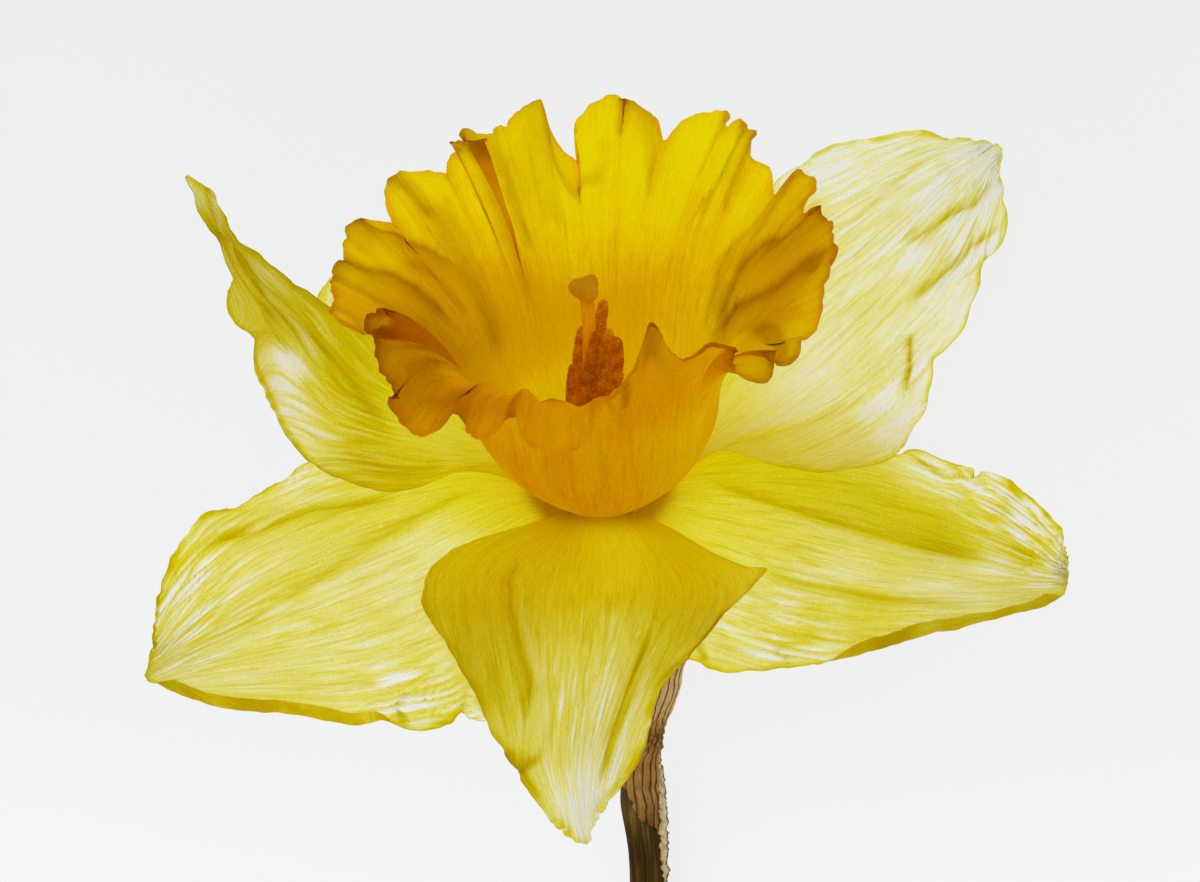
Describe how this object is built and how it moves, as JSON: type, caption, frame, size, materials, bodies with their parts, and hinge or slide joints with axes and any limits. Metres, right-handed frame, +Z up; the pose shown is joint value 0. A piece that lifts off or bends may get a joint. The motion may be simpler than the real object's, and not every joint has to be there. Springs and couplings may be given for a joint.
{
  "type": "daffodil flower",
  "caption": "Cut trumpet daffodil lying down: ruffled golden trumpet, pale yellow petals, stamens and style, nodding head on a short dry stalk with its papery sheath.",
  "frame": {"origin": "middle of the flower's bounding box, on the surface it lies on", "axes": "+Y along the stalk from its cut end to the head, +Z up"},
  "size_m": [0.0862, 0.1215, 0.0665],
  "materials": {
    "petal": "thin, translucent, finely veined",
    "trumpet": "thin, translucent, deep gold",
    "tube": "waxy yellow green",
    "ovary": "dull green",
    "style": "smooth ochre",
    "pollen": "grainy, powdery",
    "pedicel": "dull green brown",
    "sheath": "dry, papery, ribbed",
    "stalk": "dry, finely ribbed"
  },
  "bodies": {
    "root": {"tepal_front": "petal", "tepal_upper_left": "petal", "tepal_upper_right": "petal", "tepal_lower_left": "petal", "tepal_top": "petal", "tepal_lower_right": "petal", "corona": "trumpet", "floral_tube": "tube", "ovary": "ovary", "style_and_stigma": "style", "filament_1": "style", "filament_2": "style", "filament_3": "style", "filament_4": "style", "filament_5": "style", "filament_6": "style", "anther_1": "pollen", "anther_2": "pollen", "anther_3": "pollen", "anther_4": "pollen", "anther_5": "pollen", "anther_6": "pollen", "pedicel": "pedicel", "spathe": "sheath", "scape": "stalk"}
  },
  "joints": []
}
